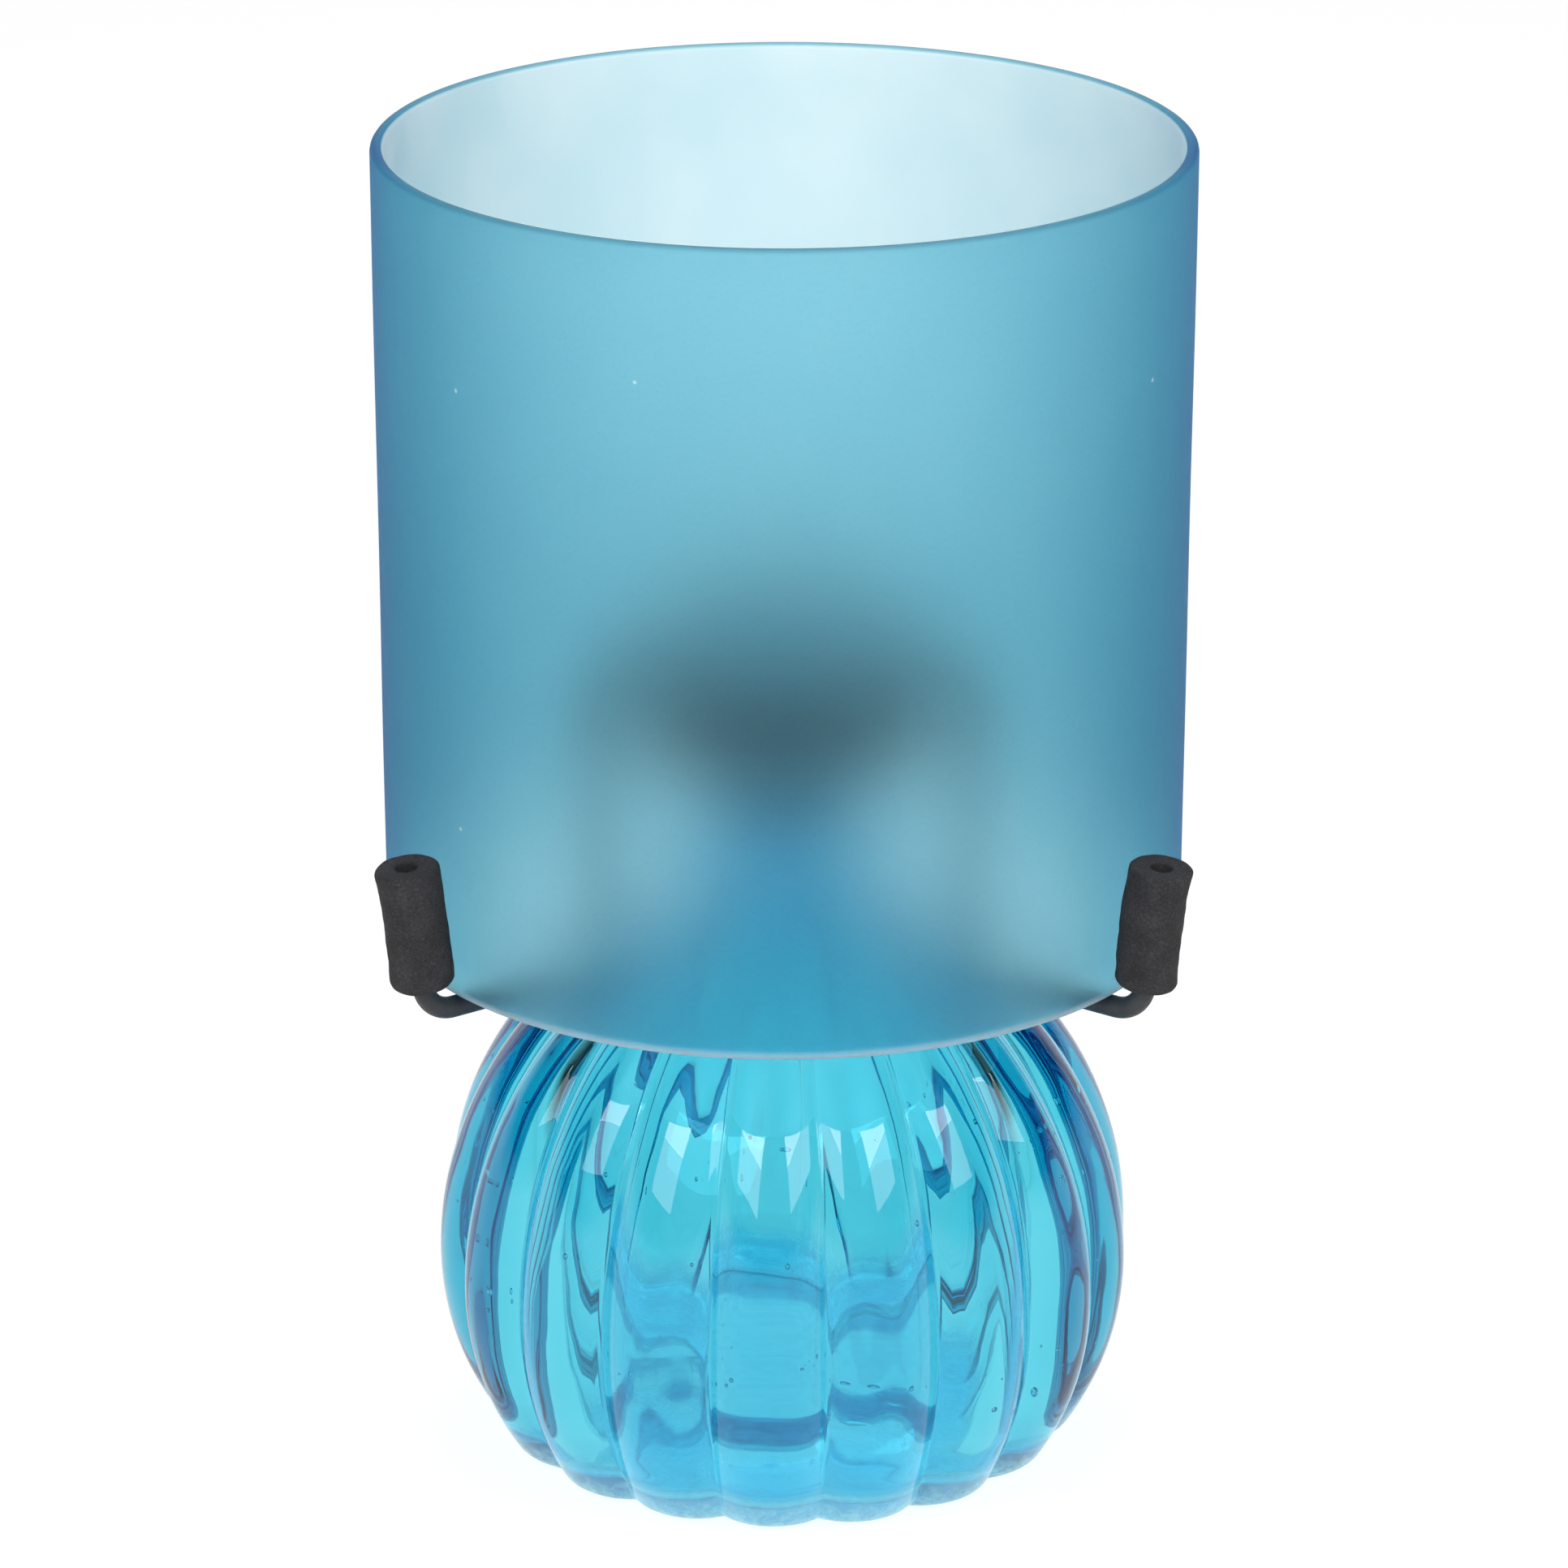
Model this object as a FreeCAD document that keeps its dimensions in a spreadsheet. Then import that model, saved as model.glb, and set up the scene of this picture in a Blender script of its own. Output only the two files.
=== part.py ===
import FreeCAD
import Part
import Sketcher
import math
import os
import re

# A table candle lantern: a ribbed glass base, a candle cup on a peg in the neck of the base, three bent
# wire arms with foam sleeves, a frosted glass shade that stands on the arms, and a tealight in the cup.
# Millimetres, +Z up. The origin is the centre of the foot, and -Y is the front.

# Driving sizes: lengths in millimetres, angles in degrees
SIZES = {
    # ribbed glass base
    "rib_count": 18,
    "rib_depth": 3.4,
    "rib_azimuth": -92.7,
    "body_diameter": 106.4,
    "equator_height": 29.0,
    "shoulder_rise": 56.4,
    "foot_drop": 50.5,
    "foot_rounding": 5.0,
    "glass_wall": 4.2,
    "floor_thickness": 4.5,
    "punt_diameter": 54.0,
    "punt_depth": 5.5,
    "punt_corner": 4.5,
    "neck_diameter": 26.0,
    "neck_fillet": 9.0,
    "neck_bore": 19.0,
    "mouth_height": 107.5,
    "lip_bulge": 1.6,
    "lip_height": 6.0,
    # peg and grommet in the neck
    "peg_diameter": 13.0,
    "peg_length": 9.0,
    "peg_rounding": 2.0,
    "grommet_length": 5.5,
    "grommet_flange": 2.0,
    "grommet_clearance": 0.3,
    # candle cup
    "cup_wall": 1.0,
    "cup_height": 16.5,
    "cup_corner": 2.0,
    # tealight
    "tealight_diameter": 38.5,
    "tealight_height": 13.0,
    "tealight_clearance": 2.5,
    "tealight_corner": 1.5,
    "shell_wall": 0.3,
    "wax_drop": 2.0,
    "wick_diameter": 1.6,
    "wick_rise": 7.0,
    "tab_diameter": 14.0,
    "tab_thickness": 0.4,
    "collar_wall": 0.6,
    "collar_height": 3.0,
    # wire arms
    "wire_diameter": 3.2,
    "wire_bend": 5.0,
    "weld_bite": 0.05,
    "arch_rise": 3.5,
    "drop_radius": 33.4,
    "front_arm_angle": 36.0,
    "prong_lean": 7.0,
    # foam sleeves
    "sleeve_diameter": 9.3,
    "sleeve_length": 19.0,
    "sleeve_rounding": 1.0,
    "sleeve_start": 0.4,
    "sleeve_clearance": 0.4,
    "sleeve_fit": 0.05,
    "tip_recess": 2.5,
    # frosted shade
    "shade_diameter": 120.0,
    "shade_wall": 2.0,
    "shade_height": 119.5,
    "shade_seat_height": 83.5,
    "seat_gap": 0.2,
    "rim_rounding": 0.9,
}

doc = FreeCAD.newDocument("candle_lantern")
sheet = doc.addObject("Spreadsheet::Sheet", "Dimensions")
for row, (alias, number) in enumerate(SIZES.items(), start=1):
    sheet.set(f"A{row}", alias)
    sheet.set(f"B{row}", str(number))
    sheet.setAlias(f"B{row}", alias)
doc.recompute()

# Places that several pieces share, as formulas on the driving sizes
CUP_UNDERSIDE = "(mouth_height + grommet_flange)"
CUP_BORE_RADIUS = "(tealight_diameter / 2 + tealight_clearance)"
CUP_RADIUS = f"({CUP_BORE_RADIUS} + cup_wall)"
TEALIGHT_FOOT = f"({CUP_UNDERSIDE} + cup_wall)"
WAX_RADIUS = "(tealight_diameter / 2 - shell_wall)"
WAX_HEIGHT = "(tealight_height - shell_wall - wax_drop)"
COLLAR_RADIUS = "(wick_diameter / 2 + collar_wall)"
WEB_RADIUS = f"({CUP_RADIUS} + wire_diameter / 2 - weld_bite)"
WEB_START = f"({CUP_UNDERSIDE} + cup_wall + cup_corner + wire_diameter / 2)"
ARCH_TOP = f"({CUP_UNDERSIDE} + cup_height + arch_rise)"
ARCH_BEND = f"((drop_radius - {WEB_RADIUS}) * 0.45)"
RUN_HEIGHT = "(shade_seat_height - seat_gap - wire_diameter / 2)"
SLEEVE_OFFSET = "(wire_bend * tan((90 - prong_lean) / 2 * 1 deg) + sleeve_start)"
SLEEVE_FOOT_RADIUS = "(shade_diameter / 2 + sleeve_clearance + sleeve_diameter / 2)"
SLEEVE_FOOT_HEIGHT = f"({RUN_HEIGHT} + {SLEEVE_OFFSET} * cos(prong_lean * 1 deg))"
PRONG_CORNER_RADIUS = f"({SLEEVE_FOOT_RADIUS} - {SLEEVE_OFFSET} * sin(prong_lean * 1 deg))"
PRONG_LENGTH = f"({SLEEVE_OFFSET} + sleeve_length - tip_recess)"
PUNT_RADIUS = "(punt_diameter / 2)"
PUNT_CORNER = "min(punt_corner; punt_depth * 0.9)"

UP = FreeCAD.Vector(0, 0, 1)


def bound(formula):
    """The formula with every size written as a reference to its cell."""
    return re.sub(r"[a-z_]+", lambda word: f"Dimensions.{word[0]}" if word[0] in SIZES else word[0], formula)


def value(formula):
    """The number that a formula gives for the sizes in the sheet."""
    return float(sheet.evalExpression(bound(formula)))


# Drawing and building blocks
def add_sketch(body, name, role):
    """A sketch on one of the body's own origin planes."""
    sketch = body.newObject("Sketcher::SketchObject", name)
    support = next(feature for feature in body.Origin.OriginFeatures if feature.Role == role)
    sketch.AttachmentSupport = [(support, "")]
    sketch.MapMode = "FlatFace"
    return sketch


def hold(sketch, geometry, vertex, across, along, name):
    """Holds one point of a sketch at a pair of formulas, on an axis where the formula is 0."""
    for kind, axis, formula in (("DistanceX", -2, across), ("DistanceY", -1, along)):
        if formula == "0":
            sketch.addConstraint(Sketcher.Constraint("PointOnObject", geometry, vertex, axis))
            continue
        index = sketch.addConstraint(Sketcher.Constraint(kind, geometry, vertex, value(formula)))
        sketch.renameConstraint(index, f"{name}_{kind[-1]}")
        sketch.setExpression(f"Constraints.{name}_{kind[-1]}", bound(formula))


def draw(sketch, corners, closed):
    """Straight runs between corners, formulas (across, along), or (across, along, radius) where rounded."""
    count = len(corners)
    points = [FreeCAD.Vector(value(corner[0]), value(corner[1]), 0) for corner in corners]
    ahead = [(points[(i + 1) % count] - points[i]).normalize() for i in range(count)]
    cut = [0.0] * count
    for i, corner in enumerate(corners):
        if len(corner) == 3:
            cut[i] = value(corner[2]) * math.tan(ahead[i - 1].getAngle(ahead[i]) / 2)
    runs = range(count if closed else count - 1)
    for i in runs:
        far = (i + 1) % count
        sketch.addGeometry(Part.LineSegment(points[i] + ahead[i] * cut[i], points[far] - ahead[i] * cut[far]))
    for i, corner in enumerate(corners):
        before = (i - 1) % count
        if len(corner) == 3:
            round_corner(sketch, points[i], ahead[before], ahead[i], cut[i], before, i, corner)
        elif i in runs:
            if before in runs:
                sketch.addConstraint(Sketcher.Constraint("Coincident", before, 2, i, 1))
            hold(sketch, i, 1, corner[0], corner[1], f"corner_{i}")
        else:
            hold(sketch, before, 2, corner[0], corner[1], f"corner_{i}")


def round_corner(sketch, point, arriving, leaving, cut, before, after, corner):
    """An arc tangent to the runs at a corner, whose sharp point is held as a construction point."""
    radius = value(corner[2])
    turn = arriving.cross(leaving).z
    side = FreeCAD.Vector(-arriving.y, arriving.x, 0) * math.copysign(radius, turn)
    first = point - arriving * cut
    last = point + leaving * cut
    centre = first + side
    low, high = (first, last) if turn > 0 else (last, first)
    angles = [math.atan2(end.y - centre.y, end.x - centre.x) for end in (low, high)]
    arc = sketch.addGeometry(Part.ArcOfCircle(Part.Circle(centre, UP, radius), *angles))
    sharp = sketch.addGeometry(Part.Point(point), True)
    arriving_end, leaving_end = (1, 2) if turn > 0 else (2, 1)
    sketch.addConstraint(Sketcher.Constraint("Tangent", before, 2, arc, arriving_end))
    sketch.addConstraint(Sketcher.Constraint("Tangent", after, 1, arc, leaving_end))
    sketch.addConstraint(Sketcher.Constraint("PointOnObject", sharp, 1, before))
    sketch.addConstraint(Sketcher.Constraint("PointOnObject", sharp, 1, after))
    hold(sketch, sharp, 1, corner[0], corner[1], f"corner_{after}")
    index = sketch.addConstraint(Sketcher.Constraint("Radius", arc, radius))
    sketch.renameConstraint(index, f"corner_{after}_R")
    sketch.setExpression(f"Constraints.corner_{after}_R", bound(corner[2]))


def turned(label, corners, foot="0"):
    """A piece turned about its upright axis from (radius, height) corners, stood at a height."""
    body = doc.addObject("PartDesign::Body", label)
    sketch = add_sketch(body, f"{label}_outline", "XZ_Plane")
    draw(sketch, corners, closed=True)
    turn = body.newObject("PartDesign::Revolution", f"{label}_turn")
    turn.Profile = sketch
    turn.ReferenceAxis = (sketch, ["V_Axis"])
    turn.Angle = 360
    body.setExpression("Placement.Base.z", bound(foot))
    return body


def solid(kind, name, height="0", **sizes):
    """A primitive whose sizes are formulas, at a height on the axis."""
    primitive = doc.addObject(kind, name)
    for size, formula in sizes.items():
        primitive.setExpression(size, bound(formula))
    primitive.setExpression("Placement.Base.z", bound(height))
    return primitive


def joined(kind, name, base, tool):
    """A boolean of two solids."""
    result = doc.addObject(kind, name)
    result.Base = base
    result.Tool = tool
    return result


# Ribbed glass base
def rib_section(crest, height, depth):
    """A closed ring of equal outward arcs, one for each rib, that meet in sharp valleys."""
    count = round(sheet.rib_count)

    def at(radius, share):
        angle = math.radians(sheet.rib_azimuth + 360 * share / count)
        return FreeCAD.Vector(radius * math.cos(angle), radius * math.sin(angle), height)

    arcs = []
    for rib in range(count):
        ends = [at(crest - depth, rib - 0.5), at(crest - depth, rib + 0.5)]
        arcs.append(Part.Arc(ends[0], at(crest, rib), ends[1]).toShape())
    return Part.Wire(arcs)


def crest_outline():
    """Radius and height along the rib crests: foot rounding, two ellipses, and fillet into the neck."""
    across = sheet.body_diameter / 2
    neck = sheet.neck_diameter / 2
    rounding = sheet.foot_rounding
    low = (sheet.equator_height - rounding) / (sheet.foot_drop - rounding)
    foot_centre = (across - rounding) * math.sqrt(1 - low ** 2)
    foot_slope = math.atan2(low / (sheet.foot_drop - rounding), foot_centre / (across - rounding) ** 2)
    outline = []
    for step in range(4):
        angle = math.pi / 2 + (foot_slope - math.pi / 2) * step / 3
        outline.append((foot_centre + rounding * math.cos(angle), rounding * (1 - math.sin(angle))))
    lowest = math.asin((sheet.equator_height - outline[-1][1]) / sheet.foot_drop)
    for step in range(3, 0, -1):
        angle = lowest * step / 4
        outline.append((across * math.cos(angle), sheet.equator_height - sheet.foot_drop * math.sin(angle)))
    fillet = sheet.neck_fillet
    reach = (neck + fillet) / (across + fillet)
    rise = math.sqrt(1 - reach ** 2)
    fillet_height = sheet.equator_height + (sheet.shoulder_rise + fillet) * rise
    fillet_slope = math.atan2(rise / (sheet.shoulder_rise + fillet), reach / (across + fillet))
    fillet_start = fillet_height - fillet * math.sin(fillet_slope)
    highest = math.asin((fillet_start - sheet.equator_height) / sheet.shoulder_rise)
    for step in range(8):
        angle = highest * step / 8
        height = sheet.equator_height + sheet.shoulder_rise * math.sin(angle)
        outline.append((across * math.cos(angle), height))
    for step in range(4):
        angle = fillet_slope * (3 - step) / 3
        outline.append((neck + fillet * (1 - math.cos(angle)), fillet_height - fillet * math.sin(angle)))
    return outline


def ribbed_blank():
    """The solid outside of the base: ribs that fade towards the neck, then a round neck with a lip."""
    across = sheet.body_diameter / 2
    neck = sheet.neck_diameter / 2
    sections = []
    for radius, height in crest_outline():
        depth = sheet.rib_depth * (radius - neck) / (across - neck)
        sections.append(rib_section(radius, height, depth))
    for step in range(5):
        swell = sheet.lip_bulge * math.sin(math.pi * 0.85 * step / 4)
        height = sheet.mouth_height - sheet.lip_height * (1 - step / 4)
        sections.append(rib_section(neck + swell, height, 0))
    blank = doc.addObject("Part::Feature", "ribbed_blank")
    blank.Shape = Part.makeLoft(sections, True, False)
    return blank


def pushed_up(label, radius, height, corner):
    """A round plug on the axis with a rounded upper edge."""
    return turned(label, [
        ("0", "0"),
        (radius, "0"),
        (radius, height, corner),
        ("0", height),
    ])


def glass_base():
    """The ribbed blank with its hollow, its neck bore and the pushed-up hollow under its foot."""
    hollow = solid("Part::Ellipsoid", "hollow", "equator_height", Radius1="shoulder_rise - glass_wall",
                   Radius2="body_diameter / 2 - rib_depth - glass_wall",
                   Radius3="body_diameter / 2 - rib_depth - glass_wall")
    above_floor = solid("Part::Cylinder", "above_floor", "floor_thickness", Radius="body_diameter / 2",
                        Height="mouth_height")
    floor_dome = pushed_up("floor_dome", f"{PUNT_RADIUS} + floor_thickness", "punt_depth + floor_thickness",
                           f"{PUNT_CORNER} + floor_thickness")
    bore = solid("Part::Cylinder", "bore", "equator_height", Radius="neck_bore / 2", Height="mouth_height")
    punt = pushed_up("punt", PUNT_RADIUS, "punt_depth", PUNT_CORNER)
    hollow = joined("Part::Common", "hollow_over_floor", hollow, above_floor)
    hollow = joined("Part::Cut", "hollow_round_dome", hollow, floor_dome)
    hollow = joined("Part::Fuse", "hollow_and_bore", hollow, bore)
    shell = joined("Part::Cut", "ribbed_shell", ribbed_blank(), hollow)
    return joined("Part::Cut", "glass_base", shell, punt)


# Frosted shade
def glass_shade():
    """A plain glass tube with softly rounded rims."""
    outside = "shade_diameter / 2"
    inside = "shade_diameter / 2 - shade_wall"
    return turned("glass_shade", [
        (inside, "0", "rim_rounding"),
        (outside, "0", "rim_rounding"),
        (outside, "shade_height", "rim_rounding"),
        (inside, "shade_height", "rim_rounding"),
    ], "shade_seat_height")


# Holder: cup, peg, grommet, arms and sleeves
def candle_cup():
    """A pressed cup with a rounded corner and a rounded rim."""
    rim = "cup_wall * 0.4"
    return turned("candle_cup", [
        ("0", "0"),
        (CUP_RADIUS, "0", "cup_corner + cup_wall"),
        (CUP_RADIUS, "cup_height", rim),
        (CUP_BORE_RADIUS, "cup_height", rim),
        (CUP_BORE_RADIUS, "cup_wall", "cup_corner"),
        ("0", "cup_wall"),
    ], CUP_UNDERSIDE)


def neck_peg():
    """A peg with a rounded end, under the middle of the cup."""
    return turned("neck_peg", [
        ("0", "0"),
        ("peg_diameter / 2", "0", "peg_rounding"),
        ("peg_diameter / 2", "peg_length"),
        ("0", "peg_length"),
    ], f"{CUP_UNDERSIDE} - peg_length")


def neck_grommet():
    """A rubber sleeve on the peg, with a flange between the cup and the mouth of the neck."""
    inside = "peg_diameter / 2"
    sleeve = "neck_bore / 2 - grommet_clearance"
    flange = "neck_diameter / 2 + lip_bulge / 2"
    return turned("neck_grommet", [
        (inside, "0"),
        (sleeve, "0", "grommet_flange / 2"),
        (sleeve, "grommet_length"),
        (flange, "grommet_length"),
        (flange, "grommet_length + grommet_flange"),
        (inside, "grommet_length + grommet_flange"),
    ], "mouth_height - grommet_length")


def wire_arm(label, azimuth):
    """A wire welded up the cup's side that arches over, drops, runs out under the shade and turns up."""
    body = doc.addObject("PartDesign::Body", label)
    path = add_sketch(body, f"{label}_path", "XZ_Plane")
    draw(path, [
        (WEB_RADIUS, WEB_START),
        (WEB_RADIUS, ARCH_TOP, ARCH_BEND),
        ("drop_radius", ARCH_TOP, ARCH_BEND),
        ("drop_radius", RUN_HEIGHT, "wire_bend"),
        (PRONG_CORNER_RADIUS, RUN_HEIGHT, "wire_bend"),
        (f"{PRONG_CORNER_RADIUS} + {PRONG_LENGTH} * sin(prong_lean * 1 deg)",
         f"{RUN_HEIGHT} + {PRONG_LENGTH} * cos(prong_lean * 1 deg)"),
    ], closed=False)
    section = add_sketch(body, f"{label}_section", "XY_Plane")
    section.setExpression("AttachmentOffset.Base.z", bound(WEB_START))
    centre = FreeCAD.Vector(value(WEB_RADIUS), 0, 0)
    circle = section.addGeometry(Part.Circle(centre, UP, sheet.wire_diameter / 2))
    hold(section, circle, 3, WEB_RADIUS, "0", "centre")
    index = section.addConstraint(Sketcher.Constraint("Radius", circle, sheet.wire_diameter / 2))
    section.renameConstraint(index, "wire_R")
    section.setExpression("Constraints.wire_R", bound("wire_diameter / 2"))
    pipe = body.newObject("PartDesign::AdditivePipe", f"{label}_pipe")
    pipe.Profile = section
    pipe.Spine = path
    body.Placement = FreeCAD.Placement(FreeCAD.Vector(), FreeCAD.Rotation(UP, azimuth))
    return body


def foam_sleeve(label, azimuth):
    """A foam tube pushed on an upturned wire end, which stops short of the tube's open top."""
    bore = "wire_diameter / 2 + sleeve_fit"
    outside = "sleeve_diameter / 2"
    body = turned(label, [
        (bore, "0"),
        (outside, "0", "sleeve_rounding"),
        (outside, "sleeve_length", "sleeve_rounding"),
        (bore, "sleeve_length"),
    ])
    body.setExpression("Placement.Base.z", None)
    foot = FreeCAD.Vector(value(SLEEVE_FOOT_RADIUS), 0, value(SLEEVE_FOOT_HEIGHT))
    lean = FreeCAD.Placement(foot, FreeCAD.Rotation(FreeCAD.Vector(0, 1, 0), sheet.prong_lean))
    body.Placement = FreeCAD.Placement(FreeCAD.Vector(), FreeCAD.Rotation(UP, azimuth)) * lean
    return body


# Tealight
def tealight_shell():
    """The thin metal dish of the tealight."""
    outside = "tealight_diameter / 2"
    return turned("tealight_shell", [
        ("0", "0"),
        (outside, "0", "tealight_corner"),
        (outside, "tealight_height"),
        (WAX_RADIUS, "tealight_height"),
        (WAX_RADIUS, "shell_wall", "tealight_corner - shell_wall"),
        ("0", "shell_wall"),
    ], TEALIGHT_FOOT)


def tealight_wax():
    """The wax, poured round the tab's plate and collar and the wick."""
    wick = "wick_diameter / 2"
    collar_top = "tab_thickness + collar_height"
    return turned("tealight_wax", [
        ("tab_diameter / 2", "0"),
        (WAX_RADIUS, "0", "tealight_corner - shell_wall"),
        (WAX_RADIUS, WAX_HEIGHT),
        (wick, WAX_HEIGHT),
        (wick, collar_top),
        (COLLAR_RADIUS, collar_top),
        (COLLAR_RADIUS, "tab_thickness"),
        ("tab_diameter / 2", "tab_thickness"),
    ], f"{TEALIGHT_FOOT} + shell_wall")


def wick_tab():
    """The plate that keeps the wick upright, with a collar that grips it."""
    wick = "wick_diameter / 2"
    return turned("wick_tab", [
        ("0", "0"),
        ("tab_diameter / 2", "0"),
        ("tab_diameter / 2", "tab_thickness"),
        (COLLAR_RADIUS, "tab_thickness"),
        (COLLAR_RADIUS, "tab_thickness + collar_height"),
        (wick, "tab_thickness + collar_height"),
        (wick, "tab_thickness"),
        ("0", "tab_thickness"),
    ], f"{TEALIGHT_FOOT} + shell_wall")


def tealight_wick():
    """The wick, from the tab's plate to above the wax."""
    length = f"{WAX_HEIGHT} - tab_thickness + wick_rise"
    return turned("tealight_wick", [
        ("0", "0"),
        ("wick_diameter / 2", "0"),
        ("wick_diameter / 2", length),
        ("0", length),
    ], f"{TEALIGHT_FOOT} + shell_wall + tab_thickness")


ARM_AZIMUTHS = {
    "left": 180 + sheet.front_arm_angle,
    "right": -sheet.front_arm_angle,
    "back": 90.0,
}

pieces = [glass_base(), glass_shade(), candle_cup(), neck_peg(), neck_grommet()]
pieces += [wire_arm(f"wire_arm_{side}", azimuth) for side, azimuth in ARM_AZIMUTHS.items()]
pieces += [foam_sleeve(f"foam_sleeve_{side}", azimuth) for side, azimuth in ARM_AZIMUTHS.items()]
pieces += [tealight_shell(), tealight_wax(), wick_tab(), tealight_wick()]
doc.recompute()

for item in doc.Objects:
    if "Invalid" in item.State or "Error" in item.State:
        raise RuntimeError(f"{item.Label} did not build: {item.State}")
for piece in pieces:
    if piece.Shape.isNull() or not piece.Shape.isValid() or len(piece.Shape.Solids) != 1:
        raise RuntimeError(f"{piece.Label} is not one valid solid")

os.makedirs("parts", exist_ok=True)
for piece in pieces:
    piece.Shape.exportStep(f"parts/{piece.Label}.step")
    box = piece.Shape.BoundBox
    print(f"{piece.Label}: {piece.Shape.Volume:.1f} mm3, z {box.ZMin:.2f} to {box.ZMax:.2f}")
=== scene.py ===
import math
import random

import bmesh
import bpy
from mathutils import Matrix, Vector, noise


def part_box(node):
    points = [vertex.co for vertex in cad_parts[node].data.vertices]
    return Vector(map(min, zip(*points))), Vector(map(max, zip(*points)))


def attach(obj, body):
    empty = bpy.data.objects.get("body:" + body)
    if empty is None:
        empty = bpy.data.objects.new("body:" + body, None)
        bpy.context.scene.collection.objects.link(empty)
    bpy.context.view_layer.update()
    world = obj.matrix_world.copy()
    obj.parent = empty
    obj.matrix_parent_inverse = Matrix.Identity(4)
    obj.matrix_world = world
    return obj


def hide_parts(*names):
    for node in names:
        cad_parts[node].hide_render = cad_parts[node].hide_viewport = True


# A candle lantern: ribbed turquoise glass base, frosted blue glass shade, wire holder with foam sleeves.
# Metres, +Z up, the front towards -Y. MM turns the object's own sizes, written in millimetres, into metres.

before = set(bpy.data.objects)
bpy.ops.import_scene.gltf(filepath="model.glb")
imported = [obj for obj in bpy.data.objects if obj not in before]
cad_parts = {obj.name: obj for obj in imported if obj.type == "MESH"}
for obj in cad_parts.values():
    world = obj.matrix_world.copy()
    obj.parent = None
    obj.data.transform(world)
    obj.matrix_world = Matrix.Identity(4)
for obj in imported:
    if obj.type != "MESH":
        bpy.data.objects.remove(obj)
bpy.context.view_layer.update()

MM = 0.001
WHITE = (1.0, 1.0, 1.0)

# Camera, fitted to the photograph's frame of 1932 by 1932 pixels
IMAGE_SIDE = 1932
FOCAL_PIXELS = 7480
SENSOR = 36.0
CAMERA_BACK = 0.8555
CAMERA_HEIGHT = 0.4251
CAMERA_PITCH = 20.618

# Glass base, in millimetres, as in its solid
RIBS = 18
RIB_AZIMUTH = -92.7
RIB_DEPTH = 3.4
BODY_RADIUS = 53.2
EQUATOR = 29.0
SHOULDER_RISE = 56.4
FOOT_DROP = 50.5
FOOT_ROUNDING = 5.0
GLASS_WALL = 4.2
FLOOR_THICKNESS = 4.5
FLOOR_CORNER = 5.0
PUNT_RADIUS = 27.0
PUNT_DEPTH = 5.5
PUNT_CORNER = 4.5
PUNT_LIP = 0.8
NECK_RADIUS = 13.0
NECK_FILLET = 9.0
BORE_RADIUS = 9.5
BORE_SOFTNESS = 3.0
LIP_BULGE = 1.6
LIP_HEIGHT = 6.0
LIP_TURN = 1.2

# Unevenness of the base's glass, in millimetres; a wave is its span and its depths inside and outside
VALLEY_SOFTNESS = 0.35
INNER_RIB = 0.5
WAVES = ((13.0, 0.25, 0.1), (5.0, 0.06, 0.0))

# Where the inside's waves grow in: from a radius, over a span outwards and a rise above the floor
WAVY_FROM = 20.0
WAVY_SPAN = 15.0
WAVY_RISE = 8.0

# Seed bubbles, in millimetres: ranges of height and of depth in the wall, and of place in the floor
BUBBLES = 130
BUBBLE_SIZES = (0.12, 0.15, 0.2, 0.25, 0.35, 0.5)
BUBBLE_STRETCH = (1.0, 2.0)
BUBBLE_HEIGHTS = (12.0, 62.0)
BUBBLE_DEPTHS = (1.9, 2.4)
FLOOR_BUBBLE_EVERY = 4
FLOOR_BUBBLE_RADII = (4.0, 30.0)
FLOOR_BUBBLE_HEIGHTS = (1.2, 3.2)
FLOOR_BUBBLE_MARGIN = 4.0

# Heights on the base, in millimetres, where its scuffed foot ends and where its neck starts
SCUFFED_FOOT = (2.0, 8.0)
DEEPER_NECK = (72.0, 88.0)

# Shade, in millimetres, as in its solid
SHADE_WALL = 2.0
RIM_ROUNDING = 0.9
SHADE_WAVE = 0.12
SHADE_WAVE_SPAN = 45.0

# Depth from the shade's faces, in millimetres, over which its inner bloom, its top rim's painted shade and
# its lower rim's ground finish fade
BLOOM_SKIN = (0.2, 0.35)
TOP_RIM_PAINTED_SHADE = (0.6, 0.2)
LOWER_RIM = (0.7, 1.6)

# Foam sleeves, in millimetres, as in their solids
SLEEVE_RADIUS = 4.65
SLEEVE_LENGTH = 19.0
SLEEVE_BORE = 1.65
SLEEVE_LEAN = 7.0
SLEEVE_FOOT_ROUNDING = 1.2
SLEEVE_TOP_ROUNDING = 0.6
SLEEVE_HOLE_ROUNDING = 0.35
SLEEVE_HOLE_FLARE = 0.6
SLEEVE_HOLE_LIFT = 0.1

# Unevenness of the foam, in millimetres; a lump is its span and its depth
SLEEVE_BOW = 0.35
SLEEVE_LUMPS = ((5.0, 0.22), (1.6, 0.1))
SLEEVE_CUT_WAVE = 0.15
SLEEVE_CUT_SPAN = 3.0
SLEEVE_SEED = Vector((3.7, 9.1, 5.3))

# Softboxes: name, degrees round from the front and up, width and height in metres, watts
LAMP_DISTANCE = 1.4
LAMP_AIM = Vector((0.0, 0.0, 0.08))
LAMPS = (
    ("softbox_left_high", -42, 46, 0.9, 0.45, 9.0),
    ("softbox_left_low", -42, 29, 0.9, 0.4, 3.6),
    ("softbox_right_high", 48, 46, 0.9, 0.45, 9.0),
    ("softbox_right_low", 48, 29, 0.9, 0.4, 3.6),
    ("softbox_back", 180, 55, 0.6, 0.6, 6.5),
)


# Mesh helpers
def smooth_max(a, b, softness):
    """The larger of two lengths, with the corner between them rounded."""
    share = max(softness - abs(a - b), 0.0) / softness
    return max(a, b) + share * share * softness / 4


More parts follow.
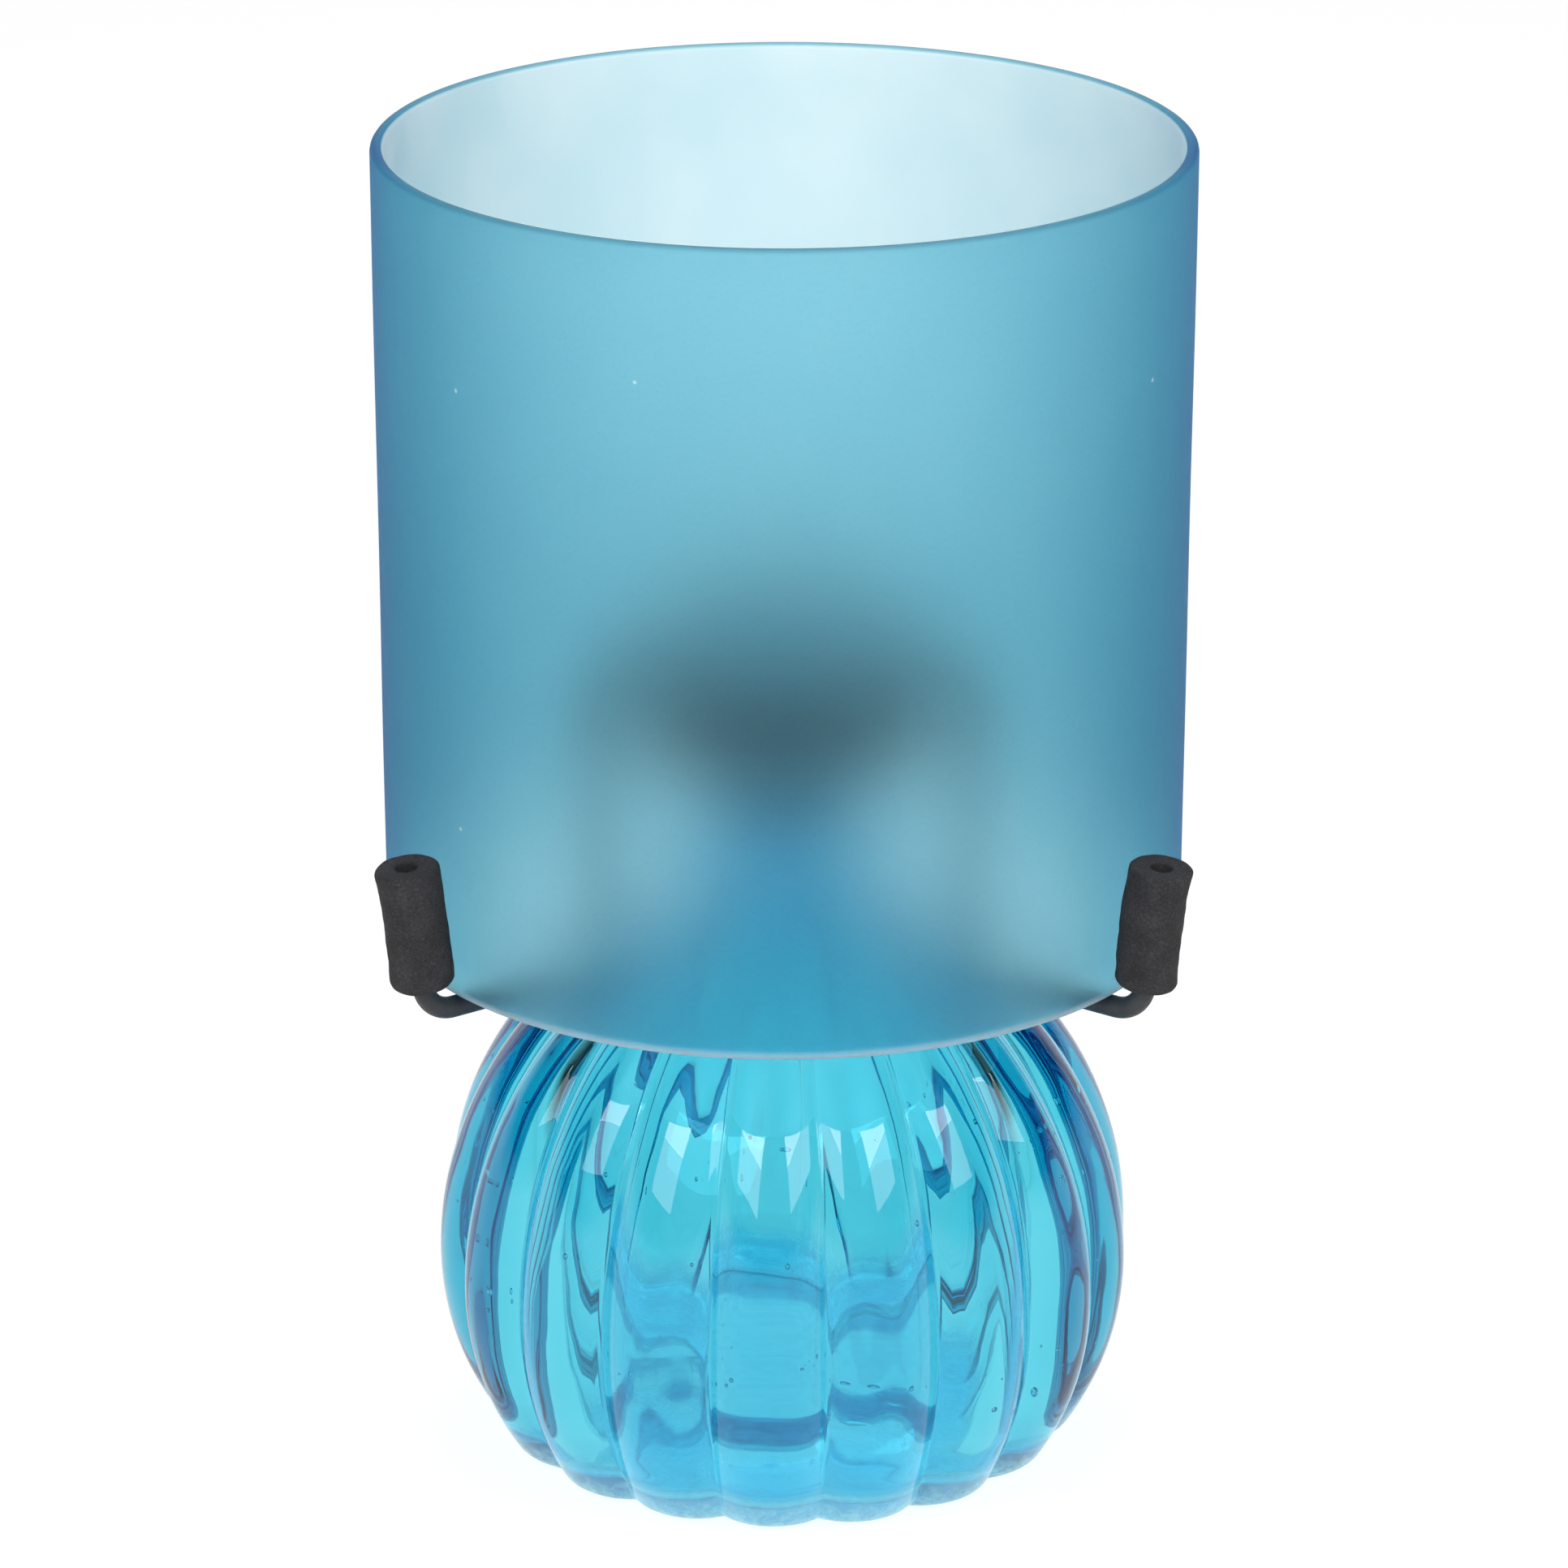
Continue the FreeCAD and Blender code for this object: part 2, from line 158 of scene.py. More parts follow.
def clamped(share):
    """A share kept between 0 and 1."""
    return max(0.0, min(1.0, share))


def arc(across, along, radius, start, end, steps):
    """Points on a circle about (across, along), from one angle in degrees to another."""
    points = []
    for step in range(steps + 1):
        angle = math.radians(start + (end - start) * step / steps)
        points.append((across + radius * math.cos(angle), along + radius * math.sin(angle)))
    return points


def skin(name, rings, ends):
    """A mesh over rings of equal length. ends is poles, or closed where the last ring joins the first."""
    count = len(rings[0])
    vertices = [point for ring in rings for point in ring]
    faces = []
    spans = len(rings) if ends == "closed" else len(rings) - 1
    for ring in range(spans):
        here = ring * count
        there = (ring + 1) % len(rings) * count
        for i in range(count):
            j = (i + 1) % count
            faces.append((here + i, here + j, there + j, there + i))
    if ends == "poles":
        for ring, turn in ((0, -1), (len(rings) - 1, 1)):
            pole = len(vertices)
            vertices.append(sum((Vector(point) for point in rings[ring]), Vector()) / count)
            loop = [ring * count + i for i in range(count)][::turn]
            faces += [(loop[i], loop[(i + 1) % count], pole) for i in range(count)]
    mesh = bpy.data.meshes.new(name)
    mesh.from_pydata([tuple(point) for point in vertices], [], faces)
    mesh.polygons.foreach_set("use_smooth", [True] * len(mesh.polygons))
    mesh.update()
    piece = bpy.data.objects.new(name, mesh)
    bpy.context.scene.collection.objects.link(piece)
    return piece


# Node helpers
def add(tree, kind, **settings):
    """A new node with its properties and inputs set by name, an input's spaces written as underscores."""
    node = tree.nodes.new(kind)
    for name, setting in settings.items():
        if hasattr(node, name):
            setattr(node, name, setting)
        else:
            node.inputs[name.replace("_", " ")].default_value = setting
    return node


def feed(tree, item, socket):
    """Links an output to an input, or sets the input to a plain number or colour."""
    if isinstance(item, bpy.types.NodeSocket):
        tree.links.new(item, socket)
    else:
        socket.default_value = item


def new_tree(holder):
    """The emptied node tree of a material or a world."""
    holder.use_nodes = True
    holder.node_tree.nodes.clear()
    return holder.node_tree


def new_material(name, **settings):
    """A material with one Principled shader; returns it with its tree, shader and output."""
    material = bpy.data.materials.new(name)
    tree = new_tree(material)
    output = add(tree, "ShaderNodeOutputMaterial")
    shader = add(tree, "ShaderNodeBsdfPrincipled", **settings)
    tree.links.new(shader.outputs[0], output.inputs["Surface"])
    return material, tree, shader, output


def calc(tree, operation, *items):
    """The output of a maths node on outputs or plain numbers."""
    node = add(tree, "ShaderNodeMath", operation=operation)
    for item, socket in zip(items, node.inputs):
        feed(tree, item, socket)
    return node.outputs[0]


def mixed(tree, share, first, second, blend="MIX"):
    """Two colours mixed, each an output or plain red, green and blue."""
    node = add(tree, "ShaderNodeMixRGB", blend_type=blend)
    for item, socket in zip((share, first, second), node.inputs):
        feed(tree, (*item, 1.0) if isinstance(item, tuple) else item, socket)
    return node.outputs[0]


def place(tree):
    """The output with a point's place in the object's own space."""
    return add(tree, "ShaderNodeTexCoord").outputs["Object"]


def height_of(tree):
    """The output with a point's height."""
    split = add(tree, "ShaderNodeSeparateXYZ")
    tree.links.new(place(tree), split.inputs[0])
    return split.outputs["Z"]


def radius_of(tree):
    """The output with a point's distance from the upright axis."""
    level = add(tree, "ShaderNodeVectorMath", operation="MULTIPLY")
    level.inputs[1].default_value = (1.0, 1.0, 0.0)
    tree.links.new(place(tree), level.inputs[0])
    length = add(tree, "ShaderNodeVectorMath", operation="LENGTH")
    tree.links.new(level.outputs[0], length.inputs[0])
    return length.outputs["Value"]


def grain(tree, per_mm, detail=4.0, roughness=0.55):
    """Noise in the object's own space, with that many waves to a millimetre; returns its value output."""
    texture = add(tree, "ShaderNodeTexNoise", Scale=per_mm / MM, Detail=detail, Roughness=roughness)
    tree.links.new(place(tree), texture.inputs["Vector"])
    return texture.outputs["Fac"]


def between(tree, value, low, high, start=0.35, end=0.65):
    """Numbers from low to high, outputs or plain, as a value goes from start to end."""
    node = add(tree, "ShaderNodeMapRange", From_Min=start, From_Max=end)
    tree.links.new(value, node.inputs["Value"])
    feed(tree, low, node.inputs["To Min"])
    feed(tree, high, node.inputs["To Max"])
    return node.outputs[0]


def shades(tree, value, *stops):
    """Colours along a ramp, as (place, colour) stops."""
    ramp = add(tree, "ShaderNodeValToRGB")
    elements = ramp.color_ramp.elements
    while len(elements) < len(stops):
        elements.new(0.5)
    for element, (position, colour) in zip(elements, stops):
        element.position = position
        element.color = (*colour, 1.0)
    tree.links.new(value, ramp.inputs[0])
    return ramp.outputs[0]


def bump(tree, shader, height, depth_mm, strength=1.0):
    """A bump of about that depth in millimetres on the shader."""
    node = add(tree, "ShaderNodeBump", Distance=depth_mm * MM, Strength=strength)
    tree.links.new(height, node.inputs["Height"])
    tree.links.new(node.outputs[0], shader.inputs["Normal"])


def coloured_through(tree, output, colour, density):
    """Colour inside the glass, which deepens with its thickness."""
    tint = add(tree, "ShaderNodeVolumeAbsorption", Color=(*colour, 1.0), Density=density)
    tree.links.new(tint.outputs[0], output.inputs["Volume"])


def lamps_pass(tree, shader, output, tint):
    """Lets lamp light through glass, tinted, so that what is inside is lit."""
    path = add(tree, "ShaderNodeLightPath")
    clear = add(tree, "ShaderNodeBsdfTransparent", Color=(*tint, 1.0))
    mix = add(tree, "ShaderNodeMixShader")
    tree.links.new(path.outputs["Is Shadow Ray"], mix.inputs[0])
    tree.links.new(shader.outputs[0], mix.inputs[1])
    tree.links.new(clear.outputs[0], mix.inputs[2])
    tree.links.new(mix.outputs[0], output.inputs["Surface"])


# Materials
def turquoise_glass():
    """Clear turquoise glass, faintly rippled, deeper where it is thick, scuffed pale at the foot."""
    foot_tint = (0.42, 0.83, 0.91)
    body_tint = (0.54, 0.885, 0.94)
    neck_tint = (0.22, 0.76, 0.92)
    deep_tint = (0.0, 0.81, 0.893)
    lamp_tint = (0.45, 0.8, 0.88)
    most_worn = 0.5
    material, tree, shader, output = new_material("turquoise_glass", IOR=1.5)
    height = height_of(tree)
    body = between(tree, height, 0.0, 1.0, *(level * MM for level in SCUFFED_FOOT))
    neck = between(tree, height, 0.0, 1.0, *(level * MM for level in DEEPER_NECK))
    colour = shades(tree, body, (0.0, foot_tint), (1.0, body_tint))
    feed(tree, mixed(tree, neck, colour, neck_tint), shader.inputs["Base Color"])
    scuffs = between(tree, grain(tree, per_mm=0.5, detail=5.0, roughness=0.7), low=0.6, high=1.3)
    wear = calc(tree, "MULTIPLY", between(tree, body, most_worn, 0.0, start=0.0, end=1.0), scuffs)
    feed(tree, calc(tree, "SUBTRACT", 1.0, wear), shader.inputs["Transmission Weight"])
    feed(tree, between(tree, wear, low=0.0, high=0.2, start=0.0, end=0.3), shader.inputs["Roughness"])
    bump(tree, shader, grain(tree, per_mm=0.06, detail=2.0), depth_mm=0.25, strength=0.5)
    coloured_through(tree, output, deep_tint, density=115.0)
    lamps_pass(tree, shader, output, lamp_tint)
    return material


def frosted_glass(inside, bottom, top):
    """Blue glass with an etched, fine-grained surface that blurs what is behind it, and pale specks.
    Its inner face has a white bloom, its ground rim at the bottom is pale, and its rim at the top is painted
    a deeper teal as painted shade.
    inside is the radius of the inner face, and bottom and top are the rims' heights, in metres."""
    cloud_tint = (0.92, 0.965, 0.985)
    speck_tint = (0.88, 0.93, 0.95)
    bloom_tint = (0.94, 0.92, 0.915)
    painted_rim_shade_tint = (0.45, 0.7, 0.78)
    deep_tint = (0.03, 0.815, 0.965)
    ground_white = 0.2
    fleck_white = 0.3
    flecks_per_mm = 0.11
    material, tree, shader, output = new_material("frosted_glass", IOR=1.25, distribution="GGX")
    height = height_of(tree)
    cloud = grain(tree, per_mm=0.05)
    speckle = grain(tree, per_mm=1.4, detail=3.0, roughness=0.7)
    clouds = shades(tree, cloud, (0.3, cloud_tint), (0.7, WHITE))
    specks = shades(tree, speckle, (0.32, speck_tint), (0.5, WHITE))
    facing = calc(tree, "SUBTRACT", 1.0, add(tree, "ShaderNodeNewGeometry").outputs["Backfacing"])
    lining = between(tree, radius_of(tree), 1.0, 0.0, *(inside + depth * MM for depth in BLOOM_SKIN))
    lining = calc(tree, "MULTIPLY", lining, facing)
    # The top rim is painted a deeper teal: painted shade for the dark line along it.
    painted_rim_shade = between(tree, height, 0.0, 1.0, *(top - depth * MM for depth in TOP_RIM_PAINTED_SHADE))
    colour = mixed(tree, 1.0, clouds, specks, "MULTIPLY")
    colour = mixed(tree, lining, colour, bloom_tint)
    colour = mixed(tree, painted_rim_shade, colour, painted_rim_shade_tint)
    feed(tree, colour, shader.inputs["Base Color"])
    feed(tree, between(tree, speckle, low=0.6, high=0.68), shader.inputs["Roughness"])
    bump(tree, shader, speckle, depth_mm=0.04, strength=0.4)
    bloom = calc(tree, "MULTIPLY", lining, between(tree, cloud, low=0.41, high=0.55))
    ground = between(tree, height, ground_white, 0.0, *(bottom + depth * MM for depth in LOWER_RIM))
    cells = add(tree, "ShaderNodeTexVoronoi", Scale=flecks_per_mm / MM)
    tree.links.new(place(tree), cells.inputs["Vector"])
    chosen = between(tree, cells.outputs["Color"], 0.0, fleck_white, start=0.58, end=0.7)
    spot = between(tree, cells.outputs["Distance"], 1.0, 0.0, start=0.02, end=0.045)
    flecks_and_painted_cell_light = calc(tree, "MULTIPLY", spot, chosen)
    pale = calc(tree, "MAXIMUM", calc(tree, "MAXIMUM", bloom, ground), flecks_and_painted_cell_light)
    feed(tree, calc(tree, "SUBTRACT", 1.0, pale), shader.inputs["Transmission Weight"])
    coloured_through(tree, output, deep_tint, density=390.0)
    return material


def black_coating():
    """Matt black baked coating on steel, slightly uneven, rubbed grey in places."""
    black = (0.022, 0.025, 0.03)
    rubbed = (0.04, 0.044, 0.05)
    material, tree, shader, _ = new_material("black_coating", Specular_IOR_Level=0.4)
    fine = grain(tree, per_mm=1.6)
    broad = grain(tree, per_mm=0.15, detail=3.0)
    feed(tree, shades(tree, broad, (0.35, black), (0.7, rubbed)), shader.inputs["Base Color"])
    feed(tree, between(tree, fine, low=0.42, high=0.62), shader.inputs["Roughness"])
    bump(tree, shader, fine, depth_mm=0.05, strength=0.5)
    return material


def black_foam():
    """Charcoal closed-cell foam: matt, pitted with fine cells, painted darker in their hollows as painted
    shade and paler on their tops as painted glints.
    """
    painted_pit_shade = (0.55, 0.55, 0.55)
    painted_glint = (2.2, 2.2, 2.25)
    charcoal = (0.026, 0.025, 0.027)
    faded = (0.042, 0.04, 0.043)
    material, tree, shader, _ = new_material("black_foam", Specular_IOR_Level=0.25, Roughness=0.9)
    cells = grain(tree, per_mm=2.4, detail=6.0, roughness=0.7)
    patches = grain(tree, per_mm=0.25, detail=3.0)
    # The cells' colour is painted light: darker in the bump's hollows as painted shade, paler on its tops as
    # painted glints.
    flecks_and_painted_cell_light = shades(tree, cells, (0.3, painted_pit_shade), (0.55, WHITE), (0.78, painted_glint))
    ground = shades(tree, patches, (0.3, charcoal), (0.7, faded))
    feed(tree, mixed(tree, 1.0, flecks_and_painted_cell_light, ground, "MULTIPLY"), shader.inputs["Base Color"])
    bump(tree, shader, cells, depth_mm=0.25, strength=0.8)
    return material


def plain_grained(name, dark, light, roughness, per_mm, depth_mm, **settings):
    """A material whose colour and roughness drift a little with a grain of the given size."""
    drift = 0.08
    material, tree, shader, _ = new_material(name, **settings)
    texture = grain(tree, per_mm)
    feed(tree, shades(tree, texture, (0.3, dark), (0.7, light)), shader.inputs["Base Color"])
    feed(tree, between(tree, texture, roughness - drift, roughness + drift), shader.inputs["Roughness"])
    bump(tree, shader, texture, depth_mm, strength=0.4)
    return material


# Glass base
def crest_outline():
    """Radius, height and rib depth along the rib crests, from the foot to the fillet into the neck."""
    across = BODY_RADIUS - FOOT_ROUNDING
    drop = FOOT_DROP - FOOT_ROUNDING
    low = (EQUATOR - FOOT_ROUNDING) / drop
    foot_centre = across * math.sqrt(1 - low ** 2)
    foot_slope = math.atan2(low / drop, foot_centre / across ** 2)
    outline = arc(foot_centre, FOOT_ROUNDING, FOOT_ROUNDING, -90, -math.degrees(foot_slope), 8)
    lowest = math.asin((EQUATOR - outline[-1][1]) / FOOT_DROP)
    lower_steps = 18
    for step in range(lower_steps - 1, 0, -1):
        angle = lowest * step / lower_steps
        outline.append((BODY_RADIUS * math.cos(angle), EQUATOR - FOOT_DROP * math.sin(angle)))
    reach = (NECK_RADIUS + NECK_FILLET) / (BODY_RADIUS + NECK_FILLET)
    rise = math.sqrt(1 - reach ** 2)
    fillet_height = EQUATOR + (SHOULDER_RISE + NECK_FILLET) * rise
    fillet_slope = math.atan2(rise / (SHOULDER_RISE + NECK_FILLET), reach / (BODY_RADIUS + NECK_FILLET))
    highest = math.asin((fillet_height - NECK_FILLET * math.sin(fillet_slope) - EQUATOR) / SHOULDER_RISE)
    upper_steps = 40
    for step in range(upper_steps):
        angle = highest * step / upper_steps
        outline.append((BODY_RADIUS * math.cos(angle), EQUATOR + SHOULDER_RISE * math.sin(angle)))
    fillet_start = 180 + math.degrees(fillet_slope)
    outline += arc(NECK_RADIUS + NECK_FILLET, fillet_height, NECK_FILLET, fillet_start, 180, 8)
    depth_per_radius = RIB_DEPTH / (BODY_RADIUS - NECK_RADIUS)
    return [(radius, height, depth_per_radius * (radius - NECK_RADIUS)) for radius, height in outline]


def rib_radius(crest, depth, offset):
    """Radius of the ribbed section at an angle from a rib's crest: equal arcs that meet in narrow valleys."""
    half = math.pi / RIBS
    valley = crest - depth
    sagitta = crest - valley * math.cos(half)
    curve = ((valley * math.sin(half)) ** 2 + sagitta ** 2) / (2 * sagitta)
    centre = crest - curve
    least_rib = 0.2

    def lobe(angle):
        inside = curve ** 2 - (centre * math.sin(angle)) ** 2
        return centre * math.cos(angle) + math.sqrt(max(inside, 0.0))

    beyond = offset - math.copysign(2 * half, offset)
    return smooth_max(lobe(offset), lobe(beyond), VALLEY_SOFTNESS) if depth > least_rib else lobe(offset)


def under_foot():
    """Radius and height from near the axis, out over the pushed-up hollow, to the flat ring of the foot."""
    punt_flat = PUNT_RADIUS - PUNT_CORNER
    flat_steps = 8
    outline = [(punt_flat * step / flat_steps, PUNT_DEPTH) for step in range(1, flat_steps)]
    outline += arc(punt_flat, PUNT_DEPTH - PUNT_CORNER, PUNT_CORNER, 90, 0, 8)
    outline += arc(PUNT_RADIUS + PUNT_LIP, PUNT_LIP, PUNT_LIP, 180, 270, 4)
    return outline


def neck_and_lip(start, mouth):
    """Radius and height up the outside of the neck and over its swelling lip, from a height to the mouth."""
    neck_top = mouth - LIP_HEIGHT
    neck_steps = 6
    outline = []
    for step in range(1, neck_steps):
        outline.append((NECK_RADIUS, start + (neck_top - start) * step / neck_steps))
    lip_sweep = math.pi * 0.85
    lip_steps = 8
    for step in range(lip_steps + 1):
        swell = LIP_BULGE * math.sin(lip_sweep * step / lip_steps)
        outline.append((NECK_RADIUS + swell, neck_top + (LIP_HEIGHT - LIP_TURN) * step / lip_steps))
    lip_edge = outline[-1][0] - LIP_TURN
    return outline + arc(lip_edge, mouth - LIP_TURN, LIP_TURN, 0, 90, 4)[1:]


def inside_base(mouth):
    """Radius and height down the inside: bore, hollow, the floor's corner and its pushed-up middle."""
    outline = arc(BORE_RADIUS + LIP_TURN, mouth - LIP_TURN, LIP_TURN, 90, 180, 4)
    inner_radius = BODY_RADIUS - RIB_DEPTH - GLASS_WALL
    inner_rise = SHOULDER_RISE - GLASS_WALL
    bore_angle = math.acos(BORE_RADIUS / inner_radius)
    bore_top = mouth - LIP_TURN
    bore_foot = EQUATOR + inner_rise * math.sin(bore_angle) + BORE_SOFTNESS
    bore_steps = 8
    for step in range(1, bore_steps):
        outline.append((BORE_RADIUS, bore_top + (bore_foot - bore_top) * step / bore_steps))
    corner_height = FLOOR_THICKNESS + FLOOR_CORNER
    past_bore = 0.03
    first_angle = bore_angle + past_bore
    last_angle = math.asin((corner_height - EQUATOR) / inner_rise)
    hollow_steps = 48
    for step in range(hollow_steps + 1):
        angle = first_angle + (last_angle - first_angle) * step / hollow_steps
        radius = smooth_max(inner_radius * math.cos(angle), BORE_RADIUS, BORE_SOFTNESS)
        outline.append((radius, EQUATOR + inner_rise * math.sin(angle)))
    wall = outline[-1][0]
    floor_edge = wall - FLOOR_CORNER
    corner_steps = 6
    for step in range(1, corner_steps + 1):
        share = step / corner_steps
        radius = wall * (1 - share ** 2) + floor_edge * share ** 2
        outline.append((radius, corner_height * (1 - share) ** 2 + FLOOR_THICKNESS * (1 - (1 - share) ** 2)))
    floor_steps = 32
    for step in range(floor_steps - 1, 0, -1):
        radius = floor_edge * step / floor_steps
        share = clamped((PUNT_RADIUS + FLOOR_THICKNESS - radius) / (PUNT_CORNER + FLOOR_THICKNESS))
        outline.append((radius, FLOOR_THICKNESS + PUNT_DEPTH * share * share * (3 - 2 * share)))
    return outline


def base_profile(mouth):
    """The whole outline as (radius, height, rib depth, inner): under the foot, up outside, down inside."""
    crest = crest_outline()
    under = under_foot()
    under.append(((under[-1][0] + crest[0][0]) / 2, 0.0))
    profile = [(*point, 0.0, False) for point in under]
    profile += [(*point, False) for point in crest]
    profile += [(*point, 0.0, False) for point in neck_and_lip(crest[-1][1], mouth)]
    profile += [(*point, 0.0, True) for point in inside_base(mouth)]
    return profile


def base_ring(radius, height, depth, inner):
    """One level ring of the base: ribbed outside, softly ribbed and wavy inside."""
    per_rib = 16
    step = 2 * math.pi / RIBS
    body = clamped((radius - WAVY_FROM) / WAVY_SPAN) * clamped((height - FLOOR_THICKNESS) / WAVY_RISE)
    waviness = body if inner else min(1.0, depth)
    waves = [(span, deep if inner else shallow) for span, deep, shallow in WAVES]
    ring = []
    for rib in range(RIBS):
        for part in range(per_rib):
            offset = step / 2 * math.sin(math.pi / 2 * (2 * part / per_rib - 1))
            angle = math.radians(RIB_AZIMUTH) + rib * step + offset
            if inner:
                reach = radius + INNER_RIB * body * math.cos(RIBS * offset)
            else:
                reach = rib_radius(radius, depth, offset)
            spot = Vector((math.cos(angle) * reach, math.sin(angle) * reach, height))
            wave = sum(noise.noise(spot / span) * swing for span, swing in waves)
            spot.xy *= 1 + wave * waviness / reach
            ring.append(spot * MM)
    return ring


def seed_bubbles(piece):
    """Small round and drawn-out bubbles inside the glass, most in the wall and some in the floor."""
    drawn = random.Random(7)
    inner_radius = BODY_RADIUS - RIB_DEPTH - GLASS_WALL
    mesh = bmesh.new()
    mesh.from_mesh(piece.data)
    for bubble in range(BUBBLES):
        angle = drawn.uniform(0, 2 * math.pi)
        height = drawn.uniform(*BUBBLE_HEIGHTS)
        wall = inner_radius * math.sqrt(1 - ((height - EQUATOR) / (SHOULDER_RISE - GLASS_WALL)) ** 2)
        radius = wall + drawn.uniform(*BUBBLE_DEPTHS)
        size = drawn.choice(BUBBLE_SIZES)
        if bubble % FLOOR_BUBBLE_EVERY == 0:
            radius = drawn.uniform(*FLOOR_BUBBLE_RADII)
            floor = PUNT_DEPTH if radius < PUNT_RADIUS - FLOOR_BUBBLE_MARGIN else 0
            height = floor + drawn.uniform(*FLOOR_BUBBLE_HEIGHTS)
        spot = Vector((math.cos(angle) * radius, math.sin(angle) * radius, height))
        stretch = Vector((size, size, size * drawn.uniform(*BUBBLE_STRETCH), 1 / MM))
        shape = Matrix.Translation(spot * MM) @ Matrix.Diagonal(stretch * MM)
        made = bmesh.ops.create_icosphere(mesh, subdivisions=2, radius=1.0, matrix=shape)
        faces = {face for vertex in made["verts"] for face in vertex.link_faces}
        bmesh.ops.reverse_faces(mesh, faces=list(faces))
        for face in faces:
            face.smooth = True
    mesh.to_mesh(piece.data)
    mesh.free()


def make_base():
    """The ribbed glass base with its seed bubbles."""
    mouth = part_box("glass_base")[1][2] / MM
    piece = skin("base_glass_ribbed", [base_ring(*level) for level in base_profile(mouth)], "poles")
    seed_bubbles(piece)
    piece.data.materials.append(turquoise_glass())
    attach(piece, "base")
    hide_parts("glass_base")


# Frosted shade
def shade_outline(inside, outside, bottom, top):
    """Radius and height round the shade's wall: up outside, over the rim, down inside, under the rim."""
    middle = ((inside + outside) / 2, (bottom + top) / 2)
    reach = top - bottom - 2 * RIM_ROUNDING
    wall_steps = 24
    outline = []
    corners = (
        (outside, bottom, -90, 1),
        (outside, top, 0, 0),
        (inside, top, 90, -1),
        (inside, bottom, 180, 0),
    )
    for across, along, start, way in corners:
        across += math.copysign(RIM_ROUNDING, middle[0] - across)
        along += math.copysign(RIM_ROUNDING, middle[1] - along)
        outline += arc(across, along, RIM_ROUNDING, start, start + 90, 4)
        if way:
            radius, height = outline[-1]
            outline += [(radius, height + way * reach * step / wall_steps) for step in range(1, wall_steps)]
    return outline


def make_shade():
    """The frosted glass tube with rounded rims, a little uneven as blown glass is."""
    low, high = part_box("glass_shade")
    outside = (high[0] - low[0]) / 2 / MM
    inside = outside - SHADE_WALL
    segments = 200
    rings = []
    for across, along in shade_outline(inside, outside, low[2] / MM, high[2] / MM):
        ring = []
        for segment in range(segments):
            angle = 2 * math.pi * segment / segments
            spot = Vector((math.cos(angle) * across, math.sin(angle) * across, along))
            spot.xy *= 1 + noise.noise(spot / SHADE_WAVE_SPAN) * SHADE_WAVE / across
            ring.append(spot * MM)
        rings.append(ring)
    piece = skin("shade_glass_frosted", rings, "closed")
    piece.data.materials.append(frosted_glass(inside * MM, low[2], high[2]))
    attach(piece, "shade")
    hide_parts("glass_shade")


# Foam sleeves
def sleeve_outline():
    """Radius and height round a sleeve's wall: round foot, straight side, flat cut top and a hole."""
    side = SLEEVE_LENGTH - SLEEVE_FOOT_ROUNDING - SLEEVE_TOP_ROUNDING
    side_steps = 26
    top_shares = (0.7, 0.52)
    bore_shares = (0.9, 0.7, 0.4, 0.05)
    outline = [(SLEEVE_BORE + SLEEVE_HOLE_FLARE, SLEEVE_HOLE_LIFT)]
    foot_centre = (SLEEVE_RADIUS - SLEEVE_FOOT_ROUNDING, SLEEVE_FOOT_ROUNDING)
    outline += arc(*foot_centre, SLEEVE_FOOT_ROUNDING, -90, 0, 6)
    for step in range(1, side_steps):
        outline.append((SLEEVE_RADIUS, SLEEVE_FOOT_ROUNDING + side * step / side_steps))
    top_centre = (SLEEVE_RADIUS - SLEEVE_TOP_ROUNDING, SLEEVE_LENGTH - SLEEVE_TOP_ROUNDING)
    outline += arc(*top_centre, SLEEVE_TOP_ROUNDING, 0, 90, 5)
    outline += [(SLEEVE_RADIUS * share, SLEEVE_LENGTH) for share in top_shares]
    hole_centre = (SLEEVE_BORE + SLEEVE_HOLE_ROUNDING, SLEEVE_LENGTH - SLEEVE_HOLE_ROUNDING)
    outline += arc(*hole_centre, SLEEVE_HOLE_ROUNDING, 90, 180, 3)
    outline += [(SLEEVE_BORE, SLEEVE_LENGTH * share) for share in bore_shares]
    return outline


def sleeve_point(along, reach, angle, seed):
    """A point of a sleeve in its own space: lumpy, a little bowed, in millimetres."""
    spot = Vector((math.cos(angle) * reach, math.sin(angle) * reach, along))
    lump = sum(noise.noise(spot / span + seed) * depth for span, depth in SLEEVE_LUMPS)
    outer = max(0.0, (reach - SLEEVE_BORE) / (SLEEVE_RADIUS - SLEEVE_BORE))
    spot.xy *= 1 + lump * outer / reach
    spot.x -= SLEEVE_BOW * math.sin(math.pi * along / SLEEVE_LENGTH)
    spot.z += noise.noise(spot / SLEEVE_CUT_SPAN + seed * 2) * SLEEVE_CUT_WAVE * outer
    return spot


def make_sleeve(side, material, index):
    """A foam tube on a wire's upturned end."""
    node = f"foam_sleeve_{side}"
    low, high = (Vector(corner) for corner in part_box(node))
    middle = (low + high) / 2
    turn = Matrix.Rotation(math.atan2(middle.y, middle.x), 4, "Z")
    lean = Matrix.Rotation(math.radians(SLEEVE_LEAN), 4, "Y")
    stand = Matrix.Translation(middle) @ turn @ lean
    half_length = Vector((0.0, 0.0, SLEEVE_LENGTH / 2))
    seed = SLEEVE_SEED * (index + 1)
    segments = 56
    rings = []
    for reach, along in sleeve_outline():
        ring = []
        for segment in range(segments):
            spot = sleeve_point(along, reach, 2 * math.pi * segment / segments, seed)
            ring.append(stand @ ((spot - half_length) * MM))
        rings.append(ring)
    piece = skin(f"foam_grip_{side}", rings, "closed")
    piece.data.materials.append(material)
    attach(piece, "holder")
    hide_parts(node)


